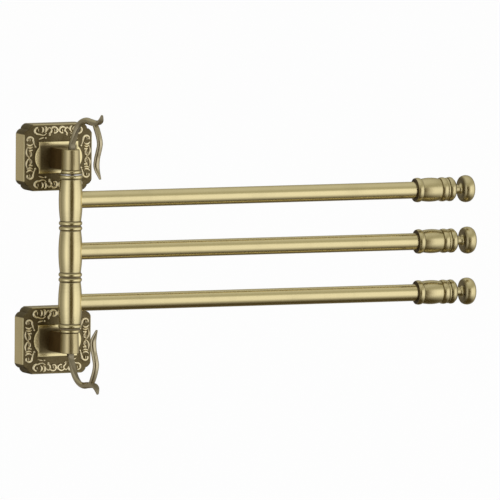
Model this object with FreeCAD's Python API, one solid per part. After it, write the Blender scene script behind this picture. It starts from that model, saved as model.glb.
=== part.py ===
import FreeCAD
import Part
import math
import os

# Swing arm towel bar: two wall posts hold an upright pivot column, and three arms turn on it.
# Millimetres, +Z up. The wall is the plane y = 0, the room is towards -Y, and the arms point
# along +X. The origin is on the wall, midway between the two wall plates, behind the column.

V = FreeCAD.Vector
UP = V(0, 0, 1)
OUTWARD = V(0, -1, 0)

# Clearances
SEAT_FIT = 0.03  # radial, between pieces that are fixed in one another
RUNNING_FIT = 0.05  # radial, between the rod and what turns on it
END_FLOAT = 0.1  # axial, at each end of a hub
SCREW_PLAY = 0.3  # radial, round the shank of a clamping screw
NEAR = 0.01  # how exactly an edge is found by its place

# Pivot column
AXIS_FROM_WALL = 43.0
ROD_RADIUS = 4.0
SPACER_THICKNESS = 0.7
SPACER_RADIUS = 7.6
THRUST_WASHER_RADIUS = 9.5
COLLAR_LENGTH = 3.2
COLLAR_EDGE_RADIUS = 7.3
COLLAR_RADIUS = 8.1

# Hubs: a barrel between two bead rings
HUB_LENGTH = 42.1
HUB_BEAD_LENGTH = 3.3
HUB_BEAD_RADIUS = 9.8
HUB_GROOVE_RADIUS = 8.4
HUB_END_RADIUS = 8.8
HUB_BELLY_RADIUS = 10.0
BUSH_WALL = 1.4
BUSH_LENGTH = 9.0

# Arms
REST_ANGLES = {"upper": 2.3, "middle": 3.0, "lower": 3.0}  # degrees away from the wall
TUBE_RADIUS = 7.5
TUBE_WALL = 1.0
STUD_THREAD_RADIUS = 3.5
STUD_PLUG_LENGTH = 14.0
TUBE_PLUG_LENGTH = 12.0

# Ferrules: rim, barrel, two beads and a round shoulder, from the tube's side to the tip
FERRULE_START = 310.6  # from the column's axis
FERRULE_SOCKET = 18.0
FERRULE_RIM_LENGTH = 3.4
FERRULE_BARREL_LENGTH = 18.0
FERRULE_BEAD_LENGTH = 5.4
FERRULE_COLLAR_LENGTH = 5.2
FERRULE_SHOULDER_LENGTH = 4.6
FERRULE_GROOVE_RADIUS = 9.0
FERRULE_EDGE_RADIUS = 9.4
FERRULE_RIM_RADIUS = 10.3
FERRULE_BARREL_END_RADIUS = 9.3
FERRULE_BARREL_RADIUS = 10.1
FERRULE_BEAD_RADIUS = 10.25
FERRULE_NOSE_RADIUS = 4.0

# Knobs
KNOB_NECK_RADIUS = 3.6
KNOB_NECK_LENGTH = 3.0
KNOB_FLARE = 1.5
KNOB_RADIUS = 11.4
KNOB_BACK_LENGTH = 6.1
KNOB_FRONT_LENGTH = 8.2
KNOB_RIM = 4.5
KNOB_STUD_RADIUS = 2.5
KNOB_STUD_GRIP = 8.0  # length held in the tube's plug

# Wall plates: a box with notched corners, a sunk band and a raised boss
PLATE_WIDTH = 62.0
PLATE_HEIGHT = 55.0
PLATE_DEPTH = 17.5
PLATE_WALL = 3.0
PLATE_FACE = 4.0
PLATE_RIM = 1.3
PLATE_EDGE = 0.4
SHOULDER_RADIUS = 3.7
NOTCH_RADIUS = 0.8
BAND_DEPTH = 0.8
BOSS_HEIGHT = 1.0
BOSS_WIDTH = 36.2
BOSS_TALL = 26.6
BOSS_BULGE = 3.7
BOSS_BULGE_CHORD = 17.4

# Wall brackets: a bent steel channel inside each plate
BRACKET_WIDTH = 40.0
BRACKET_STEEL = 2.0
BRACKET_FLANGE = 11.0
BRACKET_BEND = 1.0
BRACKET_DROP = 21.0  # from the plate's centre to the lower flange
WALL_HOLE_RADIUS = 2.25
WALL_HOLE_SPACING = 30.0
GRUB_RADIUS = 2.0
GRUB_FROM_WALL = 6.5
GRUB_SUNK = 0.5
GRUB_SOCKET_RADIUS = 1.1
GRUB_SOCKET_DEPTH = 1.8

# Posts: a square stem that ends in an upright, slightly tapered cylinder
POST_HEIGHT = 17.0
POST_INNER_RADIUS = 7.2
POST_OUTER_RADIUS = 6.8
POST_CAP = 3.0
POST_EDGE = 0.5
SPIGOT_SIDE = 8.0
SPIGOT_LENGTH = 3.8
POST_SCREW_RADIUS = 2.0
POST_SCREW_LENGTH = 16.0
POST_SCREW_HEAD_RADIUS = 4.0
POST_SCREW_HEAD_HEIGHT = 2.8
POST_SCREW_SLOT = 1.0
POST_WASHER_RADIUS = 7.0
POST_WASHER_THICKNESS = 1.0

# Hooks: a swan-neck ribbon with an upturned leaf and a hanging tail
HOOK_UPPER_DIRECTION = 75.0  # degrees from the arms towards the room
HOOK_LOWER_DIRECTION = 79.0
HOOK_STUD_RADIUS = 2.0
HOOK_STUD_GRIP = 8.0  # length held in the rod's end
HOOK_FOOT_WIDTH = 6.0
HOOK_FOOT_THICKNESS = 3.8
HOOK_WIDTH = 4.6
HOOK_THICKNESS = 2.9
HOOK_TAIL_THICKNESS = 2.3
HOOK_TIP = 0.9

# Places that follow from the sizes above
HUB_GAP = SPACER_THICKNESS + 2 * END_FLOAT
HUB_PITCH = HUB_LENGTH + HUB_GAP
STACK_TOP = HUB_PITCH + HUB_LENGTH / 2 + HUB_GAP
POST_BASE = STACK_TOP + COLLAR_LENGTH
POST_TOP = POST_BASE + POST_HEIGHT
PLATE_CENTRE = POST_BASE + POST_HEIGHT / 2
ROD_END = POST_TOP - POST_CAP
HUB_BORE_RADIUS = ROD_RADIUS + RUNNING_FIT + BUSH_WALL + SEAT_FIT
BAND_FRONT = PLATE_DEPTH - BAND_DEPTH
BOSS_FRONT = BAND_FRONT + BOSS_HEIGHT
CAVITY_FRONT = PLATE_DEPTH - PLATE_FACE
TUBE_BORE_RADIUS = TUBE_RADIUS - TUBE_WALL
TUBE_END = FERRULE_START + FERRULE_SOCKET
FERRULE_LENGTH = (
    FERRULE_RIM_LENGTH
    + FERRULE_BARREL_LENGTH
    + FERRULE_BEAD_LENGTH
    + FERRULE_COLLAR_LENGTH
    + FERRULE_SHOULDER_LENGTH
)
FERRULE_END = FERRULE_START + FERRULE_LENGTH


class Profile:
    """Half outline of a turned piece, drawn from point to point as (radius, height)."""

    def __init__(self, radius, height):
        self.start = V(radius, 0, height)
        self.here = self.start
        self.edges = []

    def line(self, radius, height):
        """A straight side to a point."""
        end = V(radius, 0, height)
        if not end.isEqual(self.here, 1e-6):
            self.edges.append(Part.LineSegment(self.here, end).toShape())
        self.here = end
        return self

    def arc(self, through_radius, through_height, radius, height):
        """A round side through one point to another."""
        end = V(radius, 0, height)
        through = V(through_radius, 0, through_height)
        self.edges.append(Part.Arc(self.here, through, end).toShape())
        self.here = end
        return self

    def bead(self, crown_radius, length):
        """A round ring of a given length that comes back to the radius it starts from."""
        radius, height = self.here.x, self.here.z
        return self.arc(crown_radius, height + length / 2, radius, height + length)

    def dome(self, rim, length):
        """A dome from the widest radius to the axis: a tight round rim, then a wide crown."""
        radius, base = self.here.x, self.here.z
        reach = radius - rim
        rise = length - rim
        depth = (reach**2 - rise**2) / (2 * rise)
        crown = length + depth
        turn = math.atan2(depth, reach)
        join = V(crown * math.cos(turn), 0, base - depth + crown * math.sin(turn))
        half = turn / 2
        self.arc(reach + rim * math.cos(half), base + rim * math.sin(half), join.x, join.z)
        half = (turn + math.pi / 2) / 2
        return self.arc(crown * math.cos(half), base - depth + crown * math.sin(half), 0, base + length)

    def turned(self):
        """The closed outline turned about the upright axis."""
        self.line(self.start.x, self.start.z)
        outline = Part.Wire(Part.__sortEdges__(self.edges))
        return Part.Face(outline).revolve(V(0, 0, 0), UP, 360)


def rod(radius, start, end, inner=0.0):
    """An upright cylinder or sleeve between two heights."""
    shape = Part.makeCylinder(radius, end - start, V(0, 0, start))
    if inner > 0:
        shape = shape.cut(Part.makeCylinder(inner, end - start, V(0, 0, start)))
    return shape


def along_arm(shape):
    """Lays an upright turned piece along +X, so that its heights become distances."""
    shape = shape.copy()
    shape.rotate(V(0, 0, 0), V(0, 1, 0), 90)
    return shape


def from_wall(shape, height):
    """Lays an upright turned piece out from the wall, so that its heights become distances."""
    shape = shape.copy()
    shape.rotate(V(0, 0, 0), V(1, 0, 0), 90)
    shape.translate(V(0, 0, height))
    return shape


def on_column(shape):
    """Moves a piece made about the origin's upright onto the column's axis."""
    shape = shape.copy()
    shape.translate(OUTWARD * AXIS_FROM_WALL)
    return shape


def wall_block(width, height, start, end):
    """A block centred on the plate, between two distances from the wall."""
    corner = V(-width / 2, -end, -height / 2)
    return Part.makeBox(width, end - start, height, corner)


# Hubs and what fits in them


def hub_form(extra, bore):
    """A hub's barrel and beads, all radii larger by extra, with or without its bore."""
    half = HUB_LENGTH / 2
    barrel = half - HUB_BEAD_LENGTH
    groove = HUB_GROOVE_RADIUS + extra
    outline = Profile(bore, -half).line(groove, -half)
    outline.bead(HUB_BEAD_RADIUS + extra, HUB_BEAD_LENGTH)
    outline.line(HUB_END_RADIUS + extra, -barrel)
    outline.arc(HUB_BELLY_RADIUS + extra, 0, HUB_END_RADIUS + extra, barrel)
    outline.line(groove, barrel).bead(HUB_BEAD_RADIUS + extra, HUB_BEAD_LENGTH)
    return outline.line(bore, half).turned()


def hub():
    """The barrel that turns on the rod, with its bore and the tapped hole for the arm."""
    hole = along_arm(rod(STUD_THREAD_RADIUS + SEAT_FIT, 0, HUB_BELLY_RADIUS))
    return hub_form(0, HUB_BORE_RADIUS).cut(hole)


def hub_bush(side):
    """A bearing sleeve at one end of the hub, flush with its face."""
    outer = HUB_BORE_RADIUS - SEAT_FIT
    inner = ROD_RADIUS + RUNNING_FIT
    end = side * HUB_LENGTH / 2
    low, high = sorted((end, end - side * BUSH_LENGTH))
    return rod(outer, low, high, inner)


def arm_stud():
    """The threaded stud in the hub whose plug fills the near end of the tube."""
    plug_end = HUB_BELLY_RADIUS + STUD_PLUG_LENGTH
    plug = along_arm(rod(TUBE_BORE_RADIUS - SEAT_FIT, 0, plug_end))
    plug = plug.cut(hub_form(SEAT_FIT, 0))
    thread = along_arm(rod(STUD_THREAD_RADIUS, HUB_BORE_RADIUS, plug_end))
    return plug.fuse(thread).removeSplitter()


def arm_tube():
    """The rail, with its near end cut to sit against the hub's barrel."""
    tube = along_arm(rod(TUBE_RADIUS, 0, TUBE_END, TUBE_BORE_RADIUS))
    return tube.cut(hub_form(SEAT_FIT, 0))


def tube_plug():
    """The tapped plug inside the far end of the tube, which the knob screws into."""
    outer = TUBE_BORE_RADIUS - SEAT_FIT
    inner = KNOB_STUD_RADIUS + SEAT_FIT
    return along_arm(rod(outer, TUBE_END - TUBE_PLUG_LENGTH, TUBE_END, inner))


def ferrule():
    """The turned end cap that covers the tube's far end."""
    hole = KNOB_STUD_RADIUS + SEAT_FIT
    socket = TUBE_RADIUS + SEAT_FIT
    groove = FERRULE_GROOVE_RADIUS
    outline = Profile(socket, FERRULE_START).line(FERRULE_EDGE_RADIUS, FERRULE_START)
    outline.bead(FERRULE_RIM_RADIUS, FERRULE_RIM_LENGTH)
    barrel = FERRULE_START + FERRULE_RIM_LENGTH
    outline.line(FERRULE_BARREL_END_RADIUS, barrel)
    outline.bead(FERRULE_BARREL_RADIUS, FERRULE_BARREL_LENGTH)
    beads = barrel + FERRULE_BARREL_LENGTH
    outline.line(groove, beads).bead(FERRULE_BEAD_RADIUS, FERRULE_BEAD_LENGTH)
    outline.bead(FERRULE_BEAD_RADIUS, FERRULE_COLLAR_LENGTH)
    shoulder = FERRULE_END - FERRULE_SHOULDER_LENGTH
    slope = math.sqrt(0.5)
    outline.arc(
        FERRULE_NOSE_RADIUS + (groove - FERRULE_NOSE_RADIUS) * slope,
        shoulder + FERRULE_SHOULDER_LENGTH * slope,
        FERRULE_NOSE_RADIUS,
        FERRULE_END,
    )
    outline.line(hole, FERRULE_END).line(hole, TUBE_END).line(socket, TUBE_END)
    return along_arm(outline.turned())


def knob():
    """The mushroom knob with its neck and the threaded stud that holds the ferrule on."""
    neck_end = FERRULE_END + KNOB_NECK_LENGTH
    back = neck_end + KNOB_FLARE
    flare_radius = KNOB_NECK_RADIUS + KNOB_FLARE
    bend = KNOB_FLARE * (1 - math.sqrt(0.5))
    spread = KNOB_RADIUS - flare_radius
    round_back = (spread**2 + KNOB_BACK_LENGTH**2) / (2 * spread)
    turn = math.asin(KNOB_BACK_LENGTH / round_back) / 2
    widest = back + KNOB_BACK_LENGTH
    outline = Profile(0, FERRULE_END).line(KNOB_NECK_RADIUS, FERRULE_END)
    outline.line(KNOB_NECK_RADIUS, neck_end)
    outline.arc(KNOB_NECK_RADIUS + bend, back - bend, flare_radius, back)
    outline.arc(
        KNOB_RADIUS - round_back * (1 - math.cos(turn)),
        widest - round_back * math.sin(turn),
        KNOB_RADIUS,
        widest,
    )
    outline.dome(KNOB_RIM, KNOB_FRONT_LENGTH)
    stud = rod(KNOB_STUD_RADIUS, TUBE_END - KNOB_STUD_GRIP, neck_end)
    return along_arm(outline.turned().fuse(stud).removeSplitter())


# Column pieces that stay still


def pivot_rod():
    """The rod through the whole column, tapped at both ends for the hooks."""
    hole_radius = HOOK_STUD_RADIUS + SEAT_FIT
    shape = rod(ROD_RADIUS, -ROD_END, ROD_END)
    for end in (-ROD_END, ROD_END - HOOK_STUD_GRIP):
        shape = shape.cut(rod(hole_radius, end, end + HOOK_STUD_GRIP))
    return shape


def stack_ring(radius, index):
    """A flat ring on the rod in one of the four gaps of the hub stack, counted from below."""
    gap = -STACK_TOP + index * HUB_PITCH
    start = gap + END_FLOAT
    return rod(radius, start, start + SPACER_THICKNESS, ROD_RADIUS + RUNNING_FIT)


def collar_ring():
    """The bead ring between the hub stack and the post, above the stack."""
    bore = ROD_RADIUS + SEAT_FIT
    outline = Profile(bore, STACK_TOP).line(COLLAR_EDGE_RADIUS, STACK_TOP)
    outline.bead(COLLAR_RADIUS, COLLAR_LENGTH)
    return outline.line(bore, POST_BASE).turned()


# Wall side


def plate_outline(inset):
    """The notched-corner outline, all round further in by inset, as a face on the wall plane.

    Each corner is two round shoulders with a small cove between them. An inset makes the
    shoulders smaller and the cove larger about the same centres.
    """
    half_width = PLATE_WIDTH / 2
    half_height = PLATE_HEIGHT / 2
    step = SHOULDER_RADIUS + NOTCH_RADIUS
    shoulder = SHOULDER_RADIUS - inset
    cove = NOTCH_RADIUS + inset
    slope = math.sqrt(0.5)
    notch_x = half_width + NOTCH_RADIUS - step
    notch_z = half_height + NOTCH_RADIUS - step
    corner = [
        (notch_x - step, half_height - inset),
        (notch_x - step + shoulder * slope, notch_z + shoulder * slope),
        (notch_x - cove, notch_z),
        (notch_x - cove * slope, notch_z - cove * slope),
        (notch_x, notch_z - cove),
        (notch_x + shoulder * slope, notch_z - step + shoulder * slope),
        (half_width - inset, notch_z - step),
    ]
    points = []
    for side_x, side_z, turned in ((1, 1, 1), (1, -1, -1), (-1, -1, 1), (-1, 1, -1)):
        points.append([V(side_x * x, 0, side_z * z) for x, z in corner[::turned]])
    edges = []
    for index, arcs in enumerate(points):
        for first in (0, 2, 4):
            edges.append(Part.Arc(*arcs[first : first + 3]).toShape())
        edges.append(Part.LineSegment(arcs[-1], points[(index + 1) % 4][0]).toShape())
    return Part.Face(Part.Wire(edges))


def boss_outline():
    """The boss: flat above and below, with a round bulge on each side."""
    x = BOSS_WIDTH / 2
    z = BOSS_TALL / 2
    chord = BOSS_BULGE_CHORD / 2
    edges = []
    for side in (1, -1):
        corners = [V(-side * x, 0, side * z), V(side * x, 0, side * z), V(side * x, 0, side * chord)]
        bulge = V(side * (x + BOSS_BULGE), 0, 0)
        after = V(side * x, 0, -side * chord)
        last = V(side * x, 0, -side * z)
        edges.append(Part.LineSegment(corners[0], corners[1]).toShape())
        edges.append(Part.LineSegment(corners[1], corners[2]).toShape())
        edges.append(Part.Arc(corners[2], bulge, after).toShape())
        edges.append(Part.LineSegment(after, last).toShape())
    return Part.Face(Part.Wire(edges))


def raised(face, start, end):
    """A face on the wall plane made solid between two distances from the wall."""
    face = face.copy()
    face.translate(OUTWARD * start)
    return face.extrude(OUTWARD * (end - start))


def wall_plate():
    """The hollow notched-corner plate with its sunk band, boss and spigot hole."""
    body = raised(plate_outline(0), 0, PLATE_DEPTH)
    front = [e for e in body.Edges if abs(e.BoundBox.YMax + PLATE_DEPTH) < NEAR]
    body = body.makeChamfer(PLATE_EDGE, front)
    body = body.cut(raised(plate_outline(PLATE_WALL), 0, CAVITY_FRONT))
    body = body.cut(raised(plate_outline(PLATE_RIM), BAND_FRONT, PLATE_DEPTH))
    body = body.fuse(raised(boss_outline(), CAVITY_FRONT, BOSS_FRONT)).removeSplitter()
    hole = SPIGOT_SIDE + 2 * SEAT_FIT
    body = body.cut(wall_block(hole, hole, CAVITY_FRONT, BOSS_FRONT))
    return body.cut(on_grub(rod(GRUB_RADIUS + SEAT_FIT, -PLATE_HEIGHT / 2, 0)))


def on_grub(shape):
    """Moves an upright piece to the grub screw's distance from the wall."""
    shape = shape.copy()
    shape.translate(OUTWARD * GRUB_FROM_WALL)
    return shape


def grub_screw():
    """The set screw that wedges the plate on its bracket from below."""
    head = -PLATE_HEIGHT / 2 + GRUB_SUNK
    screw = rod(GRUB_RADIUS, head, -BRACKET_DROP)
    socket = rod(GRUB_SOCKET_RADIUS, head, head + GRUB_SOCKET_DEPTH)
    return on_grub(screw.cut(socket))


def wall_bracket():
    """The steel channel on the wall, whose upper flange carries the plate."""
    top = PLATE_HEIGHT / 2 - PLATE_WALL - SEAT_FIT
    channel = Part.makeBox(
        BRACKET_WIDTH,
        BRACKET_FLANGE,
        top + BRACKET_DROP,
        V(-BRACKET_WIDTH / 2, -BRACKET_FLANGE, -BRACKET_DROP),
    )
    bends = [
        e
        for e in channel.Edges
        if e.BoundBox.XLength > BRACKET_WIDTH / 2 and abs(e.BoundBox.YMax) < NEAR
    ]
    channel = channel.makeFillet(BRACKET_STEEL + BRACKET_BEND, bends)
    inside = Part.makeBox(
        BRACKET_WIDTH,
        BRACKET_FLANGE,
        top + BRACKET_DROP - 2 * BRACKET_STEEL,
        V(-BRACKET_WIDTH / 2, -BRACKET_FLANGE - BRACKET_STEEL, BRACKET_STEEL - BRACKET_DROP),
    )
    inner_bends = [
        e
        for e in inside.Edges
        if e.BoundBox.XLength > BRACKET_WIDTH / 2 and abs(e.BoundBox.YMax + BRACKET_STEEL) < NEAR
    ]
    channel = channel.cut(inside.makeFillet(BRACKET_BEND, inner_bends))
    for side in (-1, 1):
        hole = from_wall(rod(WALL_HOLE_RADIUS, 0, BRACKET_STEEL), 0)
        hole.translate(V(side * WALL_HOLE_SPACING / 2, 0, 0))
        channel = channel.cut(hole)
    return channel


def post_outline(radius, height):
    """A post's section: straight sides from the boss, rounded about the column's axis."""
    back = -BOSS_FRONT
    axis = -AXIS_FROM_WALL
    left, right = V(-radius, axis, height), V(radius, axis, height)
    left_back, right_back = V(-radius, back, height), V(radius, back, height)
    return Part.Wire(
        [
            Part.LineSegment(right, right_back).toShape(),
            Part.LineSegment(right_back, left_back).toShape(),
            Part.LineSegment(left_back, left).toShape(),
            Part.Arc(left, V(0, axis - radius, height), right).toShape(),
        ]
    )


def post():
    """The upper post: stem, tapered cylinder with the rod's socket, and square spigot."""
    sections = [post_outline(POST_INNER_RADIUS, POST_BASE), post_outline(POST_OUTER_RADIUS, POST_TOP)]
    body = Part.makeLoft(sections, True, True)
    ends = [e for e in body.Edges if abs(e.BoundBox.ZMin - POST_TOP) < NEAR]
    body = body.makeFillet(POST_EDGE, [e for e in ends if e.BoundBox.YMax < -BOSS_FRONT - NEAR])
    spigot = wall_block(SPIGOT_SIDE, SPIGOT_SIDE, BOSS_FRONT - SPIGOT_LENGTH, BOSS_FRONT)
    spigot.translate(UP * PLATE_CENTRE)
    body = body.fuse(spigot)
    body = body.cut(on_column(rod(ROD_RADIUS + SEAT_FIT, POST_BASE, ROD_END)))
    body = body.cut(on_column(rod(HOOK_STUD_RADIUS + SEAT_FIT, ROD_END, POST_TOP)))
    tapped_end = CAVITY_FRONT + POST_SCREW_LENGTH
    tapped = rod(POST_SCREW_RADIUS + SEAT_FIT, BOSS_FRONT - SPIGOT_LENGTH, tapped_end)
    return body.cut(from_wall(tapped, PLATE_CENTRE))


def post_washer():
    """The plain washer behind the plate's face, under the post screw's head."""
    inner = POST_SCREW_RADIUS + SCREW_PLAY
    washer = rod(POST_WASHER_RADIUS, CAVITY_FRONT - POST_WASHER_THICKNESS, CAVITY_FRONT, inner)
    return from_wall(washer, PLATE_CENTRE)


def post_screw():
    """The slotted pan-head screw that pulls the post onto the plate from behind."""
    seat = CAVITY_FRONT - POST_WASHER_THICKNESS
    back = seat - POST_SCREW_HEAD_HEIGHT
    edge = POST_SCREW_HEAD_HEIGHT / 2
    outline = Profile(0, back).line(POST_SCREW_HEAD_RADIUS - edge, back)
    slope = edge * math.sqrt(0.5)
    outline.arc(
        POST_SCREW_HEAD_RADIUS - edge + slope,
        back + edge - slope,
        POST_SCREW_HEAD_RADIUS,
        back + edge,
    )
    outline.line(POST_SCREW_HEAD_RADIUS, seat).line(POST_SCREW_RADIUS, seat)
    outline.line(POST_SCREW_RADIUS, seat + POST_SCREW_LENGTH).line(0, seat + POST_SCREW_LENGTH)
    screw = from_wall(outline.turned(), 0)
    slot = wall_block(2 * POST_SCREW_HEAD_RADIUS, POST_SCREW_SLOT, back, back + edge)
    screw = screw.cut(slot)
    screw.translate(UP * PLATE_CENTRE)
    return screw


def ribbon(stations):
    """A flat bar lofted through rectangles square to a smooth line.

    Each station is (distance out, height, width, thickness). The width lies across the plane
    of the line and the thickness lies in it.
    """
    line = Part.BSplineCurve()
    line.interpolate([V(out, 0, height) for out, height, width, thickness in stations])
    sections = []
    for out, height, width, thickness in stations:
        centre = V(out, 0, height)
        tangent = V(*line.tangent(line.parameter(centre))[0])
        across = V(0, width / 2, 0)
        through = tangent.cross(V(0, 1, 0)).normalize() * (thickness / 2)
        corners = [centre + across + through, centre - across + through]
        corners += [centre - across - through, centre + across - through]
        sections.append(Part.makePolygon(corners + corners[:1]))
    return Part.makeLoft(sections, True)


def hook(direction):
    """A hook above its post: shank, arch and leaf in one ribbon, the tail in another, and the stud."""
    neck = ribbon(
        [
            (0.0, 0.0, HOOK_FOOT_WIDTH, HOOK_FOOT_THICKNESS),
            (0.9, 6.5, HOOK_WIDTH, HOOK_THICKNESS),
            (2.8, 13.0, HOOK_WIDTH, HOOK_THICKNESS),
            (6.6, 19.3, HOOK_WIDTH, HOOK_THICKNESS),
            (12.2, 24.7, HOOK_WIDTH, HOOK_THICKNESS),
            (19.0, 27.1, HOOK_WIDTH, HOOK_THICKNESS),
            (25.6, 25.9, HOOK_WIDTH, HOOK_THICKNESS),
            (31.2, 24.4, HOOK_WIDTH, HOOK_THICKNESS),
            (36.2, 25.3, HOOK_WIDTH, HOOK_TAIL_THICKNESS),
            (39.8, 28.1, HOOK_WIDTH / 2, HOOK_TIP * 2),
            (41.2, 31.1, HOOK_TIP, HOOK_TIP),
        ]
    )
    tail = ribbon(
        [
            (27.0, 25.2, HOOK_WIDTH, HOOK_TAIL_THICKNESS),
            (33.4, 19.4, HOOK_WIDTH, HOOK_TAIL_THICKNESS),
            (36.8, 13.0, HOOK_WIDTH, HOOK_TAIL_THICKNESS),
            (38.0, 6.5, HOOK_WIDTH, HOOK_TAIL_THICKNESS),
            (37.4, 0.5, HOOK_WIDTH, HOOK_TAIL_THICKNESS),
            (35.4, -4.9, HOOK_WIDTH, HOOK_TAIL_THICKNESS),
            (33.8, -10.6, HOOK_WIDTH, HOOK_TAIL_THICKNESS),
            (34.6, -17.0, HOOK_WIDTH, HOOK_TAIL_THICKNESS),
            (37.2, -21.8, HOOK_TIP * 2, HOOK_TIP),
        ]
    )
    stud = rod(HOOK_STUD_RADIUS, -POST_CAP - HOOK_STUD_GRIP, HOOK_FOOT_THICKNESS / 2)
    shape = neck.fuse([tail, stud]).removeSplitter()
    shape.rotate(V(0, 0, 0), UP, -direction)
    shape.translate(UP * POST_TOP)
    return on_column(shape)


# The assembly


def wall_side():
    """Both wall plates with their brackets, posts, screws, collars and hooks."""
    seated = {"wall_bracket": wall_bracket(), "wall_plate": wall_plate(), "grub_screw": grub_screw()}
    mirrored = {
        "post": post(),
        "post_screw": post_screw(),
        "post_washer": post_washer(),
        "collar_ring": on_column(collar_ring()),
    }
    pieces = {
        "hook_upper": hook(HOOK_UPPER_DIRECTION),
        "hook_lower": hook(HOOK_LOWER_DIRECTION).mirror(V(0, 0, 0), UP),
    }
    for name, shape in seated.items():
        for place, height in (("upper", PLATE_CENTRE), ("lower", -PLATE_CENTRE)):
            piece = shape.copy()
            piece.translate(UP * height)
            pieces[f"{name}_{place}"] = piece
    for name, shape in mirrored.items():
        pieces[f"{name}_upper"] = shape
        pieces[f"{name}_lower"] = shape.mirror(V(0, 0, 0), UP)
    return pieces


def column():
    """The rod and the rings in the gaps of the stack, with the wide washer at the top."""
    names = ("spacer_bottom", "spacer_lower", "spacer_upper", "thrust_washer_top")
    radii = (SPACER_RADIUS, SPACER_RADIUS, SPACER_RADIUS, THRUST_WASHER_RADIUS)
    pieces = {"pivot_rod": on_column(pivot_rod())}
    for index, (name, radius) in enumerate(zip(names, radii)):
        pieces[name] = on_column(stack_ring(radius, index))
    return pieces


def arm(place, level):
    """One arm about the column's axis at its level, swung out by its rest angle."""
    shapes = {
        "hub": hub(),
        "hub_bush_top": hub_bush(1),
        "hub_bush_bottom": hub_bush(-1),
        "arm_stud": arm_stud(),
        "arm_tube": arm_tube(),
        "tube_plug": tube_plug(),
        "ferrule": ferrule(),
        "knob": knob(),
    }
    pieces = {}
    for name, shape in shapes.items():
        shape.rotate(V(0, 0, 0), UP, -REST_ANGLES[place])
        shape.translate(UP * level * HUB_PITCH)
        pieces[f"{name}_{place}"] = on_column(shape)
    return pieces


def main():
    os.makedirs("parts", exist_ok=True)
    pieces = wall_side()
    pieces.update(column())
    for place, level in (("upper", 1), ("middle", 0), ("lower", -1)):
        pieces.update(arm(place, level))
    for name, shape in pieces.items():
        assert shape.isValid() and len(shape.Solids) == 1, name
        shape.Solids[0].exportStep(f"parts/{name}.step")
    print(f"{len(pieces)} pieces, plates at {PLATE_CENTRE:.2f}, post top {POST_TOP:.2f}")


main()
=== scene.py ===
"""Looks of a swing arm towel bar in brushed antique brass, built round its fixed frame.

Metres, +Z up. The wall is the plane y = 0, the room is towards -Y, and the rails point along +X.
"""

import logging
from dataclasses import dataclass, field
from enum import Enum
from math import asin, atan2, cos, hypot, pi, radians, sin, sqrt

import bpy
import numpy as np
from bpy.types import Material, Node, NodeSocket, NodeTree, Object
from mathutils import Matrix, Vector


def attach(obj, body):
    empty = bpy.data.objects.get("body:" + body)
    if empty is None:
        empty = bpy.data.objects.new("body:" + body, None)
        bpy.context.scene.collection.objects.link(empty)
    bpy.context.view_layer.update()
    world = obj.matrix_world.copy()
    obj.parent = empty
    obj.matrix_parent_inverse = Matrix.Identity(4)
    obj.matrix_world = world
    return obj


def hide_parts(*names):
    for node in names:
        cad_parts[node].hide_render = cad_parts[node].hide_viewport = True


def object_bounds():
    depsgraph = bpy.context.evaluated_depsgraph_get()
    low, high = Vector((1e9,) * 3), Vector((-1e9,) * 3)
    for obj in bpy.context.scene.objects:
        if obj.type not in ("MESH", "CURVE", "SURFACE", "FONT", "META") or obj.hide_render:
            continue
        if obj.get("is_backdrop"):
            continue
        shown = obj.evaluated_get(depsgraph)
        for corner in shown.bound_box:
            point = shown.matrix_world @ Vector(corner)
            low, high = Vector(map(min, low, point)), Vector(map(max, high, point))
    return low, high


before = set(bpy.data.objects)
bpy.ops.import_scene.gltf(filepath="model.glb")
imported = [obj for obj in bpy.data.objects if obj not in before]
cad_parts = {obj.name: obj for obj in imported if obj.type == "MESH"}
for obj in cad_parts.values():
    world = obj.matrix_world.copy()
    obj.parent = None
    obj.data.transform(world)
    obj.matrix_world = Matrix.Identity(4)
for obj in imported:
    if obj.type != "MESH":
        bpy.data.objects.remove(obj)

log = logging.getLogger("towel_bar")

MM = 0.001

# The column and what follows from it
AXIS_Y = -43.0 * MM
HUB_PITCH = 43.0 * MM
PLATE_CENTRE = 76.65 * MM
POST_TOP = 85.15 * MM

Colour = tuple[float, float, float]
Pair = tuple[float, float]
Path = tuple[Pair, ...]
Array = np.ndarray


class Place(Enum):
    """Where a repeated sub-assembly stands on the column."""

    UPPER = "upper"
    MIDDLE = "middle"
    LOWER = "lower"

    @property
    def level(self) -> int:
        """Pitches above the column's middle; the lower end's -1 also mirrors its pieces."""
        return {"upper": 1, "middle": 0, "lower": -1}[self.value]


class Body(Enum):
    """The bodies of the frame that pieces ride on."""

    WALL = "root"
    UPPER_ARM = "upper_arm"
    MIDDLE_ARM = "middle_arm"
    LOWER_ARM = "lower_arm"


class Slot(Enum):
    """The record's material slots."""

    ANTIQUE_BRASS = "antique_brass"
    NYLON = "nylon"


class Grain(Enum):
    """Stretches of a finish's grain along X, Y and Z: belt lines, or even where it is cast or stippled."""

    ROUND_UPRIGHT = (60.0, 60.0, 2600.0)
    ROUND_RAIL = (2600.0, 60.0, 60.0)
    CAST = (700.0, 700.0, 700.0)
    STIPPLE = (1500.0, 1500.0, 1500.0)


# Patina gathers this near to a higher ring, and is full this far below it
GROOVE_REACH = 1.1 * MM
GROOVE_DEPTH = 0.7 * MM
# Degrees by which the rails stand off the wall at rest
REST_ANGLES = {Place.UPPER: 2.3, Place.MIDDLE: 3.0, Place.LOWER: 3.0}


# Surfaces


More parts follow.
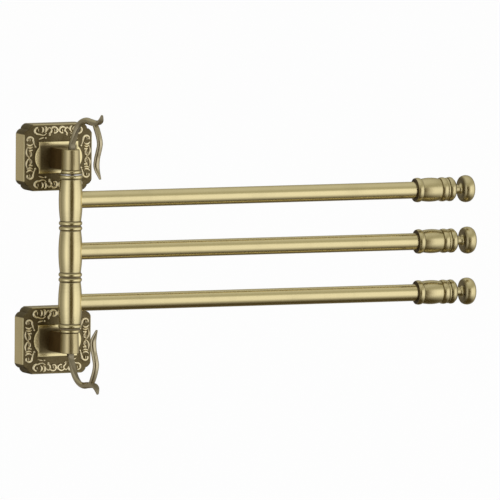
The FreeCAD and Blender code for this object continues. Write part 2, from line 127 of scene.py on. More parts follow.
@dataclass
class Surface:
    """Points and faces of a piece, with a share of darkening at each point: patina, painted shade and
    painted reflection.
    """

    points: Array
    faces: list[tuple[int, ...]]
    patina_and_shade: Array

    @staticmethod
    def joined(parts: "list[Surface]") -> "Surface":
        """Several surfaces as one.

        Args:
            parts: The surfaces, in order.

        Returns:
            One surface with all their points and faces.
        """
        starts = np.cumsum([0] + [len(part.points) for part in parts]).tolist()
        faces = [tuple(start + i for i in face) for start, part in zip(starts, parts) for face in part.faces]
        points = np.concatenate([part.points for part in parts])
        return Surface(points, faces, np.concatenate([part.patina_and_shade for part in parts]))

    def mirrored(self, x: int, z: int) -> "Surface":
        """The surface with its X and Z multiplied by 1 or -1, and its faces still outwards."""
        points = self.points * np.array([x, 1.0, z])
        faces = self.faces if x * z > 0 else [face[::-1] for face in self.faces]
        return Surface(points, faces, self.patina_and_shade)

    def moved(self, offset: tuple[float, float, float]) -> "Surface":
        """The surface shifted by an offset in metres."""
        return Surface(self.points + np.array(offset), self.faces, self.patina_and_shade)

    def turned(self, degrees: float) -> "Surface":
        """The surface turned about the upright through the origin, against the clock from above."""
        cosine, sine = cos(radians(degrees)), sin(radians(degrees))
        turn = np.array([[cosine, -sine, 0.0], [sine, cosine, 0.0], [0.0, 0.0, 1.0]])
        return Surface(self.points @ turn.T, self.faces, self.patina_and_shade)

    def build(self, name: str, crease: float) -> Object:
        """Puts the surface into a new object.

        Args:
            name: The piece's name.
            crease: Edges that turn by more than these degrees stay sharp.

        Returns:
            The object, linked to the scene.
        """
        mesh = bpy.data.meshes.new(name)
        mesh.from_pydata(self.points.tolist(), [], self.faces)
        shares = mesh.attributes.new("patina_and_shade", "FLOAT", "POINT").data
        shares.foreach_set("value", self.patina_and_shade.astype(np.float32))
        mesh.polygons.foreach_set("use_smooth", np.ones(len(mesh.polygons), bool))
        mesh.set_sharp_from_angle(angle=radians(crease))
        mesh.update()
        piece = bpy.data.objects.new(name, mesh)
        bpy.context.scene.collection.objects.link(piece)
        return piece


def skin(rows: Array) -> list[tuple[int, ...]]:
    """Faces of a grid whose rows are closed rings.

    Args:
        rows: Points as (row, column, 3). Each row is a ring of the same number of points.

    Returns:
        Quads as point numbers. They face outwards where each ring turns to the left seen from the
        end that the rows run towards.
    """
    count, ring = rows.shape[:2]
    start, column = ring * np.arange(count - 1)[:, None], np.arange(ring)[None, :]
    after = (column + 1) % ring
    corners = (start + column, start + after, start + ring + after, start + ring + column)
    return [tuple(quad) for quad in np.stack(corners, -1).reshape(-1, 4).tolist()]


def solid(rows: Array, patina_and_shade: Array) -> Surface:
    """A closed body from rings, with both end rings filled by a fan round their middle.

    Args:
        rows: Points as (row, column, 3).
        patina_and_shade: Share of darkening, patina and painted shade alike, for each row, or for each point
            of the grid.

    Returns:
        The closed surface.
    """
    count, ring = rows.shape[:2]
    grid = np.broadcast_to(patina_and_shade[:, None] if patina_and_shade.ndim == 1 else patina_and_shade, (count, ring))
    points = np.concatenate([rows.reshape(-1, 3), rows[0].mean(0)[None], rows[-1].mean(0)[None]])
    first, last = count * ring, count * ring + 1
    faces = skin(rows)
    for i in range(ring):
        j = (i + 1) % ring
        faces.append((first, j, i))
        faces.append((last, (count - 1) * ring + i, (count - 1) * ring + j))
    shares = np.concatenate([grid.ravel(), [grid[0].mean(), grid[-1].mean()]])
    return Surface(points, faces, shares)


def smooth_path(stations: Array, steps: int) -> Array:
    """A smooth line through stations: between two of them, a cubic whose slope at each is half the
    way from its neighbour before to its neighbour after (Catmull-Rom), for all columns alike.

    Args:
        stations: One row for each station, of any number of columns.
        steps: Steps between two stations.

    Returns:
        The line's rows, both ends included.
    """
    ends = np.vstack([2 * stations[0] - stations[1], stations, 2 * stations[-1] - stations[-2]])
    before, here, after, beyond = ends[:-3], ends[1:-2], ends[2:-1], ends[3:]
    t = np.arange(steps)[None, :, None] / steps
    before, here, after, beyond = (part[:, None, :] for part in (before, here, after, beyond))
    line = 0.5 * (
        2 * here
        + (after - before) * t
        + (2 * before - 5 * here + 4 * after - beyond) * t**2
        + (3 * here - before - 3 * after + beyond) * t**3
    )
    return np.vstack([line.reshape(-1, stations.shape[1]), stations[-1]])


# Turned pieces


@dataclass
class Turning:
    """A turned outline: distances along the axis and radii, from one end to the other."""

    along: list[float] = field(default_factory=list)
    radius: list[float] = field(default_factory=list)

    def to(self, along: float, radius: float) -> "Turning":
        """Adds a point."""
        self.along.append(along)
        self.radius.append(radius)
        return self

    def arc(self, length: float, crown: float, steps: int = 18) -> "Turning":
        """Adds a round ring back to the same radius: the circle through both ends and the crown.

        Args:
            length: The ring's length along the axis.
            crown: The largest radius, at its middle.
            steps: Steps along it.

        Returns:
            The outline itself.
        """
        start, base = self.along[-1], self.radius[-1]
        rise = crown - base
        circle = (length**2 / 4 + rise**2) / (2 * rise)
        half = atan2(length / 2, circle - rise)
        angle = np.linspace(-half, half, steps + 1)[1:]
        self.along += list(start + length / 2 + circle * np.sin(angle))
        self.radius += list(crown - circle + circle * np.cos(angle))
        return self

    def curve(self, along: float, radius: float, bulge: Pair) -> "Turning":
        """Adds a quadratic curve from the last point to a new one, drawn towards a third.

        Args:
            along: Where the new point lies.
            radius: Its radius.
            bulge: The point that draws the curve, as (along, radius).

        Returns:
            The outline itself.
        """
        t = np.linspace(0, 1, 15)[1:]
        for values, end, pull in ((self.along, along, bulge[0]), (self.radius, radius, bulge[1])):
            values += list((1 - t) ** 2 * values[-1] + 2 * t * (1 - t) * pull + t**2 * end)
        return self

    def patina_and_shade(self, reach: float, depth: float) -> Array:
        """How far each point lies below the largest radius within reach of it, as a share of depth."""
        along, radius = np.array(self.along), np.array(self.radius)
        near = np.abs(along[:, None] - along[None, :]) < reach
        envelope = np.where(near, radius[None, :], 0.0).max(1)
        return np.clip((envelope - radius) / depth, 0.0, 1.0)

    def surface(self, segments: int = 96, grooves: float = 1.0) -> Surface:
        """The outline turned about +Z: each point becomes a ring, and both ends are closed.

        Args:
            segments: Points in a ring.
            grooves: How dark the grooves are.

        Returns:
            The closed surface, upright on the origin.
        """
        angle = np.linspace(0, 2 * pi, segments, endpoint=False)
        radius = np.array(self.radius)[:, None]
        height = np.broadcast_to(np.array(self.along)[:, None], (len(self.along), segments))
        rows = np.stack([radius * np.cos(angle), radius * np.sin(angle), height], -1)
        return solid(rows, grooves * self.patina_and_shade(GROOVE_REACH, GROOVE_DEPTH))


def laid(surface: Surface) -> Surface:
    """An upright turned surface laid along +X, so that its heights become distances."""
    x, y, z = surface.points.T
    return Surface(np.stack([z, y, -x], -1), surface.faces, surface.patina_and_shade)


# Finishes


@dataclass(frozen=True)
class Wiring:
    """Adds nodes to a shader's tree. An input takes another node's output, a value or a colour."""

    tree: NodeTree

    def fill(self, node: Node, inputs: dict[str | int, object]) -> Node:
        """Joins or sets a node's inputs.

        Args:
            node: The node.
            inputs: What each input takes, by its name or number.

        Returns:
            The node.
        """
        for key, given in inputs.items():
            socket = node.inputs[key]
            if isinstance(given, NodeSocket):
                self.tree.links.new(given, socket)
            else:
                socket.default_value = (*given, 1.0) if socket.type == "RGBA" else given
        return node

    def add(self, kind: str, inputs: dict[str | int, object] | None = None, **settings: object) -> Node:
        """Adds a node.

        Args:
            kind: Its type, without ShaderNode.
            inputs: What its inputs take.
            settings: Its properties, set before the inputs.

        Returns:
            The node.
        """
        node = self.tree.nodes.new(f"ShaderNode{kind}")
        for name, value in settings.items():
            setattr(node, name, value)
        return self.fill(node, inputs or {})

    def math(self, operation: str, *given: object, clamp: bool = False) -> NodeSocket:
        """The result of an operation on its inputs, in their order."""
        return self.add("Math", dict(enumerate(given)), operation=operation, use_clamp=clamp).outputs[0]

    def mix(self, share: object, start: object, end: object) -> NodeSocket:
        """A colour between two, by a share."""
        inputs = {"Factor": share, "A": start, "B": end}
        return self.add("Mix", inputs, data_type="RGBA").outputs["Result"]

    def noise(self, point: NodeSocket, scale: float) -> NodeSocket:
        """The value of a noise at a point."""
        return self.add("TexNoise", {"Vector": point, "Scale": scale, "Detail": 3.0}).outputs["Fac"]

    def bump(self, height: NodeSocket, distance: float) -> NodeSocket:
        """The normal of a relief whose full height is a distance in metres."""
        return self.add("Bump", {"Distance": distance, "Height": height}).outputs["Normal"]

    def place(self) -> NodeSocket:
        """The point on the piece, in metres of the frame."""
        return self.add("TexCoord").outputs["Object"]

    def ramp(self, share: NodeSocket, stops: list[tuple[float, Colour]]) -> NodeSocket:
        """A colour read off by a share.

        Args:
            share: Where to read it.
            stops: The ramp as (position, colour), rising.

        Returns:
            The colour.
        """
        node = self.add("ValToRGB", {"Fac": share})
        elements = node.color_ramp.elements
        elements.remove(elements[-1])
        for index, (position, colour) in enumerate(stops):
            element = elements.new(position) if index else elements[0]
            element.position = position
            element.color = (*colour, 1.0)
        return node.outputs["Color"]


def new_material(name: str) -> tuple[Material, Wiring]:
    """A new material with its default shader, and the wiring of its tree."""
    material = bpy.data.materials.new(name)
    material.use_nodes = True
    return material, Wiring(material.node_tree)


def aged_metal_group() -> NodeTree:
    """The aged look that all the brass shares: belt lines, cloudy lacquer, and dark patina with painted
    shade.

    The belt lines are a noise stretched along one way. The clouds are a slow noise. The patina and
    painted shade are a mask, broken up by both, that leads from the bright colour to the dark one.

    Returns:
        The node group, with Colour, Roughness and Height as outputs.
    """
    group = bpy.data.node_groups.new("aged_metal", "ShaderNodeTree")
    for name, kind, default in (
        ("Bright", "Color", (0.7, 0.6, 0.35, 1.0)),
        ("Dark", "Color", (0.1, 0.08, 0.05, 1.0)),
        ("Patina And Shade", "Float", 0.0),
        ("Grain Point", "Vector", (0.0, 0.0, 0.0)),
        ("Line Depth", "Float", 0.1),
        ("Base Roughness", "Float", 0.25),
    ):
        socket = group.interface.new_socket(name=name, in_out="INPUT", socket_type=f"NodeSocket{kind}")
        socket.default_value = default
    for name, kind in (("Colour", "Color"), ("Roughness", "Float"), ("Height", "Float")):
        group.interface.new_socket(name=name, in_out="OUTPUT", socket_type=f"NodeSocket{kind}")
    wiring = Wiring(group)
    given = group.nodes.new("NodeGroupInput").outputs
    lines = wiring.noise(given["Grain Point"], 1.0)
    clouds = wiring.noise(wiring.place(), 55.0)
    # Darkening = patina and painted shade input + (clouds - 0.5) * 0.25 + (lines - 0.5) * Line Depth, kept
    # between 0 and 1
    cloudy = wiring.math("MULTIPLY_ADD", clouds, 0.25, -0.125)
    centred = wiring.math("SUBTRACT", lines, 0.5)
    lined = wiring.math("MULTIPLY_ADD", centred, given["Line Depth"], cloudy)
    mask = wiring.math("ADD", lined, given["Patina And Shade"], clamp=True)
    result = {
        "Colour": wiring.mix(mask, given["Bright"], given["Dark"]),
        "Roughness": wiring.math("MULTIPLY_ADD", mask, 0.3, given["Base Roughness"], clamp=True),
        "Height": lines,
    }
    wiring.fill(group.nodes.new("NodeGroupOutput"), result)
    return group


@dataclass(frozen=True)
class AgedBrass:
    """Brushed brass under lacquer, darkened by patina and by painted shade and reflections.

    Attributes:
        name: The material's name.
        grain: Which way its belt lines run.
        bright: Colour of the brushed metal.
        dark: Colour of the patina and of the painted shade.
        roughness: Roughness of the bright metal.
        lines: How strongly the belt lines tint the metal.
        relief: Height in metres of the belt lines or casting grain.
        turn: Degrees by which the grain follows a rail that is turned about the upright.
    """

    name: str
    grain: Grain
    bright: Colour = (0.745, 0.645, 0.365)
    dark: Colour = (0.085, 0.062, 0.036)
    roughness: float = 0.22
    lines: float = 0.22
    relief: float = 0.000004
    turn: float = 0.0

    def build(self, group: NodeTree) -> Material:
        """Makes the material.

        Args:
            group: The shared aged metal group.

        Returns:
            The material.
        """
        material, wiring = new_material(self.name)
        rotation = (0.0, 0.0, radians(self.turn))
        turned = wiring.add("Mapping", {"Vector": wiring.place(), "Rotation": rotation})
        stretch = {"Vector": turned.outputs["Vector"], "Scale": self.grain.value}
        aged = wiring.add("Group", node_tree=group)
        inputs = {
            "Bright": self.bright,
            "Dark": self.dark,
            "Line Depth": self.lines,
            "Base Roughness": self.roughness,
            "Grain Point": wiring.add("Mapping", stretch).outputs["Vector"],
            "Patina And Shade": wiring.add("Attribute", attribute_name="patina_and_shade").outputs["Fac"],
        }
        worn = wiring.fill(aged, inputs).outputs
        shown = {"Metallic": 1.0, "Base Color": worn["Colour"], "Roughness": worn["Roughness"]}
        shown["Normal"] = wiring.bump(worn["Height"], self.relief)
        wiring.fill(material.node_tree.nodes["Principled BSDF"], shown)
        return material


@dataclass(frozen=True)
class PlainFinish:
    """A plain metal or plastic with a fine mottled grain.

    Attributes:
        name: The material's name.
        colour: Its colour.
        metallic: 1 for metal, 0 for plastic.
        roughness: Its middle roughness.
        scale: Grains for each metre.
    """

    name: str
    colour: Colour
    metallic: float
    roughness: float
    scale: float = 900.0

    def build(self) -> Material:
        """Makes the material: a noise varies the colour by a tenth, the roughness and the bump.

        Returns:
            The material.
        """
        material, wiring = new_material(self.name)
        grain = wiring.noise(wiring.place(), self.scale)
        darker, lighter = ([min(1.0, share * c) for c in self.colour] for share in (0.9, 1.1))
        shown = {
            "Metallic": self.metallic,
            "Base Color": wiring.mix(grain, darker, lighter),
            "Roughness": wiring.math("MULTIPLY_ADD", grain, 0.1, self.roughness - 0.05),
            "Normal": wiring.bump(grain, 0.00001),
        }
        wiring.fill(material.node_tree.nodes["Principled BSDF"], shown)
        return material


class Finishes:
    """Every material of the object, made once."""

    def __init__(self) -> None:
        """Makes the materials round one shared group."""
        group = aged_metal_group()
        self.column = AgedBrass("brushed_column", Grain.ROUND_UPRIGHT).build(group)
        self.post = AgedBrass(
            "brushed_post", Grain.ROUND_UPRIGHT, dark=(0.15, 0.092, 0.034), lines=0.12
        ).build(group)
        self.rails = {
            place: AgedBrass(
                f"brushed_rail_{place.value}", Grain.ROUND_RAIL, lines=0.14, relief=0.0000012, turn=angle
            ).build(group)
            for place, angle in REST_ANGLES.items()
        }
        self.plate = AgedBrass(
            "stippled_plate", Grain.STIPPLE, dark=(0.06, 0.037, 0.011), lines=0.3, relief=0.00002
        ).build(group)
        self.relief = AgedBrass(
            "cast_relief", Grain.CAST, bright=(0.97, 0.86, 0.58), roughness=0.34, relief=0.00003
        ).build(group)
        self.hook = AgedBrass(
            "satin_hook", Grain.CAST, (0.52, 0.455, 0.31), (0.07, 0.055, 0.04), 0.2, 0.16
        ).build(group)
        self.brass = PlainFinish("turned_brass", (0.72, 0.58, 0.32), 1.0, 0.3).build()
        self.steel = PlainFinish("zinc_steel", (0.55, 0.55, 0.54), 1.0, 0.38).build()
        self.washer = PlainFinish("bright_washer", (0.66, 0.64, 0.62), 1.0, 0.25).build()
        self.nylon = PlainFinish("brown_nylon", (0.13, 0.1, 0.06), 0.0, 0.55).build()
        self.seam = PlainFinish("amber_nylon", (0.24, 0.19, 0.11), 0.0, 0.4).build()


def fitted(
    surface: Surface,
    name: str,
    material: Material,
    body: Body,
    *nodes: str,
    slot: Slot = Slot.ANTIQUE_BRASS,
    crease: float = 35.0,
) -> None:
    """Builds a new piece, dresses it and ties it to the frame.

    Args:
        surface: Its surface.
        name: Its name.
        material: Its finish.
        body: The body it rides on.
        nodes: The frame's nodes that it stands for.
        slot: The record's slot its finish comes from; not used.
        crease: Edges that turn by more than these degrees stay sharp.
    """
    piece = surface.build(name, crease)
    piece.data.materials.append(material)
    if nodes:
        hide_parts(*nodes)
    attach(piece, body.value)
    log.info("%s: %d faces on %s", piece.name, len(piece.data.polygons), body.value)


# Arms


@dataclass
class Arm:
    """A hub that turns on the column, its rail, the ferrule and the knob.

    All radii and distances are in metres, and distances run from the column's axis.
    """

    place: Place
    hub_length: float = 42.1 * MM
    bead_length: float = 3.3 * MM
    bead: float = 9.8 * MM
    bead_edge: float = 9.0 * MM
    groove: float = 8.4 * MM
    hub_end: float = 8.8 * MM
    belly: float = 10.0 * MM
    slope: float = 0.25 * MM
    hub_bore: float = 5.0 * MM
    tube: float = 7.1 * MM
    tube_start: float = 7.0 * MM
    tube_seat: float = 4.0 * MM
    tube_gap: float = 0.03 * MM
    ferrule_start: float = 311.2 * MM
    rim_length: float = 4.6 * MM
    barrel_length: float = 18.0 * MM
    second_length: float = 4.4 * MM
    third_length: float = 2.7 * MM
    fourth_length: float = 3.7 * MM
    shoulder_length: float = 2.6 * MM
    ferrule_groove: float = 9.0 * MM
    edge: float = 9.8 * MM
    bevel: float = 0.3 * MM
    land: float = 0.1 * MM
    rim: float = 10.3 * MM
    barrel: float = 10.1 * MM
    second: float = 10.2 * MM
    third: float = 9.7 * MM
    nose: float = 4.0 * MM
    stud: float = 2.5 * MM
    neck: float = 3.6 * MM
    neck_length: float = 3.2 * MM
    flare: float = 1.5 * MM
    flare_length: float = 2.8 * MM
    knob: float = 11.4 * MM
    knob_back: float = 10.4 * MM
    knob_front: float = 7.2 * MM
    lip: float = 0.5 * MM
    lip_share: float = 0.68
    crown_drop: float = 1.2 * MM
    crown_share: float = 0.55
    shade_from: float = 4.6 * MM
    shade_to: float = 10.9 * MM
    hub_dark: float = 0.6
    ferrule_dark: float = 0.5
    ferrule_tone: float = 0.14
    knob_tone: float = 0.12
    knob_shade: float = 0.6

    def __post_init__(self) -> None:
        """Works out the arm's body and where its ferrule ends."""
        self.body = Body(f"{self.place.value}_arm")
        rings = (self.rim_length, self.barrel_length, self.second_length, self.third_length)
        self.ferrule_end = self.ferrule_start + sum((*rings, self.fourth_length, self.shoulder_length))

    def settled(self, surface: Surface) -> Surface:
        """The surface turned by the rest angle and moved to the arm's level on the column."""
        turned = surface.turned(-REST_ANGLES[self.place])
        return turned.moved((0.0, AXIS_Y, self.place.level * HUB_PITCH))

    def hub_surface(self) -> Surface:
        """A barrel, an arc of a circle along the axis, between two round beads."""
        half = self.hub_length / 2
        outline = Turning().to(-half, self.hub_bore).to(-half, self.bead_edge)
        outline.arc(self.bead_length, self.bead).to(outline.along[-1], self.groove)
        outline.to(outline.along[-1] + self.slope, self.hub_end)
        outline.arc(self.hub_length - 2 * self.bead_length - 2 * self.slope, self.belly, 40)
        outline.to(outline.along[-1] + self.slope, self.groove).to(outline.along[-1], self.bead_edge)
        outline.arc(self.bead_length, self.bead)
        return outline.to(half, self.hub_bore).surface(grooves=self.hub_dark)

    def tube_surface(self) -> Surface:
        """A plain cylinder from inside the hub to inside the ferrule."""
        outline = Turning()
        length = self.ferrule_start + self.tube_seat - self.tube_start
        for share in np.linspace(0, 1, 40):
            outline.to(self.tube_start + share * length, self.tube)
        return laid(outline.surface())

    def ferrule_surface(self) -> Surface:
        """Rim, barrel and three beads as arcs, a round shoulder, and painted shade on the end face round the
        rail.
        """
        start, end, groove = self.ferrule_start, self.ferrule_end, self.ferrule_groove
        outline = Turning().to(start, self.tube + self.tube_gap).to(start, self.edge - self.bevel)
        outline.to(start + self.land, self.edge)
        for length, crown, after, steps in (
            (self.rim_length - self.land, self.rim, groove, 18),
            (self.barrel_length, self.barrel, self.edge, 30),
            (self.second_length, self.second, groove, 18),
            (self.third_length, self.third, self.edge, 18),
            (self.fourth_length, self.second, groove, 18),
        ):
            outline.arc(length, crown, steps).to(outline.along[-1], after)
        outline.curve(end, self.nose, (end, groove))
        surface = laid(outline.to(end, self.stud).surface(grooves=self.ferrule_dark))
        surface.patina_and_shade[:] = np.maximum(surface.patina_and_shade, self.ferrule_tone)
        # Painted shade: the end face round the rail, in the shadow of the ferrule's mouth, is fully dark
        surface.patina_and_shade[surface.points[:, 0] < start + self.land / 2] = 1.0
        return surface

    def knob_surface(self) -> Surface:
        """A neck that flares into a mushroom: a dished back with painted shade, a tight rim and a wide
        crown.
        """
        end, knob = self.ferrule_end, self.knob
        back = end + self.neck_length + self.flare_length
        widest = end + self.knob_back
        tip = widest + self.knob_front
        outline = Turning().to(end, self.stud).to(end, self.neck).to(end + self.neck_length, self.neck)
        outline.curve(back, self.neck + self.flare, (back - 0.6 * MM, self.neck))
        outline.to(back - self.lip, self.lip_share * knob)
        outline.curve(widest, knob, (back - 0.7 * MM, 0.97 * knob))
        rim = len(outline.along)
        outline.curve(tip - self.crown_drop, self.crown_share * knob, (tip - 1.9 * MM, 0.98 * knob))
        outline.curve(tip, 0.02 * MM, (tip, 0.3 * knob))
        surface = laid(outline.surface(grooves=0.0))
        radius = np.array(outline.radius)
        # Painted shade on the dished back, between these radii and before the rim
        inner = np.clip((radius - self.shade_from) / (0.6 * MM), 0, 1)
        shaded = inner * np.clip((self.shade_to - radius) / MM, 0, 1)
        shaded[rim:] = 0.0
        ring = (len(surface.points) - 2) // len(radius)
        surface.patina_and_shade[:-2] = np.repeat(self.knob_tone + self.knob_shade * shaded, ring)
        return surface

    def build(self, finishes: Finishes) -> None:
        """Makes and dresses the arm's pieces, and dresses the ones inside it."""
        place, rail = self.place.value, finishes.rails[self.place]
        for kind, surface, material in (
            ("hub", self.hub_surface(), finishes.column),
            ("arm_tube", self.tube_surface(), rail),
            ("ferrule", self.ferrule_surface(), rail),
            ("knob", self.knob_surface(), rail),
        ):
            node = f"{kind}_{place}"
            fitted(self.settled(surface), f"{node}_skin", material, self.body, node)
        dress(finishes.nylon, f"hub_bush_top_{place}", f"hub_bush_bottom_{place}")
        dress(finishes.steel, f"arm_stud_{place}")
        dress(finishes.brass, f"tube_plug_{place}")


def dress(material: Material, *names: str) -> None:
    """Gives nodes that keep their own shape a finish.

    Args:
        material: The finish.
        names: The nodes' names.
    """
    for name in names:
        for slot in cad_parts[name].material_slots:
            slot.material = material
        log.info("%s: its own shape in %s", name, material.name)


# Wall plates


def arc_through(start: Pair, middle: Pair, end: Pair, steps: int) -> Array:
    """The arc of the circle through three points: its centre is as far from each of them.

    Args:
        start: The first point.
        middle: A point between.
        end: The last point.
        steps: Steps along the arc.

    Returns:
        Points along the arc, both ends included.
    """
    places = np.array([start, middle, end])
    sides = 2 * (places[1:] - places[0])
    squares = (places**2).sum(1)
    centre = np.linalg.solve(sides, squares[1:] - squares[0])
    spokes = places - centre
    angle = np.unwrap(np.arctan2(spokes[:, 1], spokes[:, 0]))
    angle = np.linspace(angle[0], angle[2], steps + 1)
    return centre + np.hypot(*spokes[0]) * np.stack([np.cos(angle), np.sin(angle)], -1)


@dataclass
class PlateForm:
    """The notched-corner plate with its boss. Sizes are in metres."""

    width: float = 62.4 * MM
    height: float = 55.8 * MM
    depth: float = 16.7 * MM
    wall: float = 3.0 * MM
    face: float = 4.0 * MM
    edge: float = 0.9 * MM
    reach: float = 8.6 * MM
    notch: float = 4.5 * MM
    notch_width: float = 1.4 * MM
    notch_depth: float = 0.45 * MM
    bulge_out: float = 0.6 * MM
    ground: float = 0.86
    hollow_dark: float = 0.6
    cove_painted_shade: float = 0.85
    boss_painted_reflection: float = 0.8
    boss_reflection_fade: float = 1.6 * MM
    boss_reflection_fade_up: float = 2.0 * MM
    boss_reflection_width: float = 17.6 * MM
    boss_reflection_height: float = 11.6 * MM
    boss_rise: float = 1.0 * MM
    boss_width: float = 36.2 * MM
    boss_height: float = 26.6 * MM
    bulge: float = 3.7 * MM
    chord: float = 17.4 * MM

    @property
    def front(self) -> float:
        """Distance of the boss's face from the wall."""
        return self.depth + self.boss_rise

    def corner(self, steps: int = 8) -> Array:
        """The upper right corner: shoulder, cove and shoulder, as arcs of circles.

        Args:
            steps: Steps along each arc.

        Returns:
            Points (x, z), clockwise from the top edge to the right one.
        """
        lean = sqrt(0.5)
        near = self.notch - self.notch_width * lean
        fall = self.reach - self.notch
        chord = hypot(near, fall)
        middle = (self.reach + self.notch) / 2 - self.bulge_out * near / chord
        side = near / 2 - self.bulge_out * fall / chord
        cove = (self.notch + near) / 2 + self.notch_depth * lean
        shoulder = arc_through((self.reach, 0.0), (middle, side), (self.notch, near), steps)
        hollow = arc_through((self.notch, near), (cove, cove), (near, self.notch), steps)
        cuts = np.concatenate([shoulder, hollow[1:-1], shoulder[::-1, ::-1]])
        return np.array([self.width / 2, self.height / 2]) - cuts

    def outline(self, inset: float) -> Array:
        """The whole outline drawn in by an inset, clockwise from the front, as points (x, z)."""
        corner = self.corner()
        lower = corner[::-1] * (1, -1)
        whole = np.concatenate([corner, lower, -corner, -lower])
        return whole * (1 - 2 * inset / self.width, 1 - 2 * inset / self.height)

    def boss(self, inset: float) -> Array:
        """The boss at an inset: flat above and below, with a round bulge on each side."""
        half_width, half_height = self.boss_width / 2 - inset, self.boss_height / 2 - inset
        half_chord = self.chord / 2
        radius = (half_chord**2 + self.bulge**2) / (2 * self.bulge)
        half = asin(half_chord / radius)
        angle = np.linspace(half, -half, 21)
        bow = np.stack(
            [half_width + self.bulge - radius + radius * np.cos(angle), radius * np.sin(angle)], -1
        )
        corner = np.array([[half_width, half_height]])
        right = np.concatenate([corner, bow, corner * (1, -1)])
        return np.concatenate([right, -right])

    def ring(self, outline: Array, angles: Array, depth: float) -> Array:
        """An outline read off at given angles round its middle, at a distance from the wall.

        Args:
            outline: Points (x, z), clockwise.
            angles: Angles round the middle, rising.
            depth: Distance from the wall.

        Returns:
            Points (x, y, z), one for each angle.
        """
        bearing = np.unwrap(np.arctan2(outline[:, 1], outline[:, 0]))[::-1]
        places = outline[::-1]
        turn = 2 * pi
        bearing = np.concatenate([bearing - turn, bearing, bearing + turn])
        places = np.concatenate([places] * 3)
        x = np.interp(angles, bearing, places[:, 0])
        z = np.interp(angles, bearing, places[:, 1])
        return np.stack([x, np.full_like(x, -depth), z], -1)

    def surface(self) -> Surface:
        """The plate as rings round its middle, from inside the hollow back to the boss's face."""
        marks = np.concatenate([self.outline(0.0), self.boss(0.0)])
        spread = np.linspace(-pi, pi, 240, endpoint=False)
        angles = np.concatenate([np.arctan2(marks[:, 1], marks[:, 0]), spread])
        angles = np.unique(np.round(angles, 5))
        angles = angles[np.diff(angles, prepend=-9.0) > 2e-4]
        rows: list[tuple[Array, float, float]] = [
            (self.outline(self.wall), self.depth - self.face, self.hollow_dark),
            (self.outline(self.wall), 0.0, self.hollow_dark),
            (self.outline(0.0), 0.0, 0.0),
        ]
        rows += [
            (
                self.outline(self.edge * (1 - cos(pi / 2 * t))),
                self.depth - self.edge * (1 - sin(pi / 2 * t)),
                self.ground * t**3,
            )
            for t in np.linspace(0, 1, 7)
        ]
        rim = len(rows)
        rows += [
            (self.outline(self.edge + 0.9 * MM), self.depth, self.ground),
            (self.boss(-0.5 * MM), self.depth, self.ground),
            (self.boss(-0.02 * MM), self.depth, 1.0),
            (self.boss(0.0), self.front - 0.35 * MM, 0.1),
            (self.boss(0.12 * MM), self.front - 0.1 * MM, 0.0),
        ]
        face = len(rows)
        rows += [(share * self.boss(0.4 * MM), self.front, 0.0) for share in np.linspace(1, 0.05, 24)]
        grid = np.stack([self.ring(outline, angles, depth) for outline, depth, _ in rows])
        shares = np.broadcast_to(np.array([share for _, _, share in rows])[:, None], grid.shape[:2]).copy()
        across, up = np.abs(grid[..., 0]), np.abs(grid[..., 2])
        # Painted shade on the walls and rounded edge at the notched corners
        cut = (across > self.width / 2 - self.reach) & (up > self.height / 2 - self.reach)
        shares[:rim] = np.maximum(shares[:rim], self.cove_painted_shade * cut[:rim])
        # Painted dark reflection on the boss's flat face, full in its middle and fading out towards its
        # edges
        near = np.clip((self.boss_reflection_width - across) / self.boss_reflection_fade, 0, 1)
        level = np.clip((self.boss_reflection_height - up) / self.boss_reflection_fade_up, 0, 1)
        shares[face:] = self.boss_painted_reflection * (near * level)[face:]
        return solid(grid, shares)


@dataclass(frozen=True)
class Stroke:
    """One raised stroke of the scroll relief.

    Attributes:
        path: Stations (x, z) in millimetres from the plate's middle.
        width: Width in millimetres at the stroke's middle.
        start: Share of that width at the first station.
        end: Share of that width at the last station.
    """

    path: Path
    width: float = 2.2
    start: float = 0.4
    end: float = 0.4

    def surface(self, ground: float, height: float = 0.95 * MM) -> Surface:
        """The stroke: an ellipse carried along the smooth path, half sunk in the ground.

        The width swells from its start to full at the middle and back to its end, as a sine. The
        half-axis towards the room is the height times the square root of the width's share.

        Args:
            ground: Distance of the ground from the wall, in metres.
            height: Height of the crown over the ground, in metres.

        Returns:
            The closed surface.
        """
        line = smooth_path(np.array(self.path), 7) * MM
        slope = np.gradient(line, axis=0)
        slope /= np.linalg.norm(slope, axis=1, keepdims=True)
        across = np.stack([-slope[:, 1], slope[:, 0]], -1)
        share = np.linspace(0, 1, len(line))
        low = self.start + (self.end - self.start) * share
        swell = low + (1 - low) * np.sin(pi * share)
        half = self.width * MM / 2 * swell
        angle = np.linspace(0, 2 * pi, 14, endpoint=False)
        side = half[:, None] * np.cos(angle)
        rise = height * np.sqrt(swell)[:, None] * np.sin(angle)
        rows = np.stack(
            [line[:, :1] + across[:, :1] * side, -ground - rise, line[:, 1:] + across[:, 1:] * side],
            -1,
        )
        # Painted shadow: each stroke darkens down its sides towards the ground
        patina_and_shade = 0.9 * np.clip(1 - rise / (0.34 * height), 0, 1)
        return solid(rows, patina_and_shade)


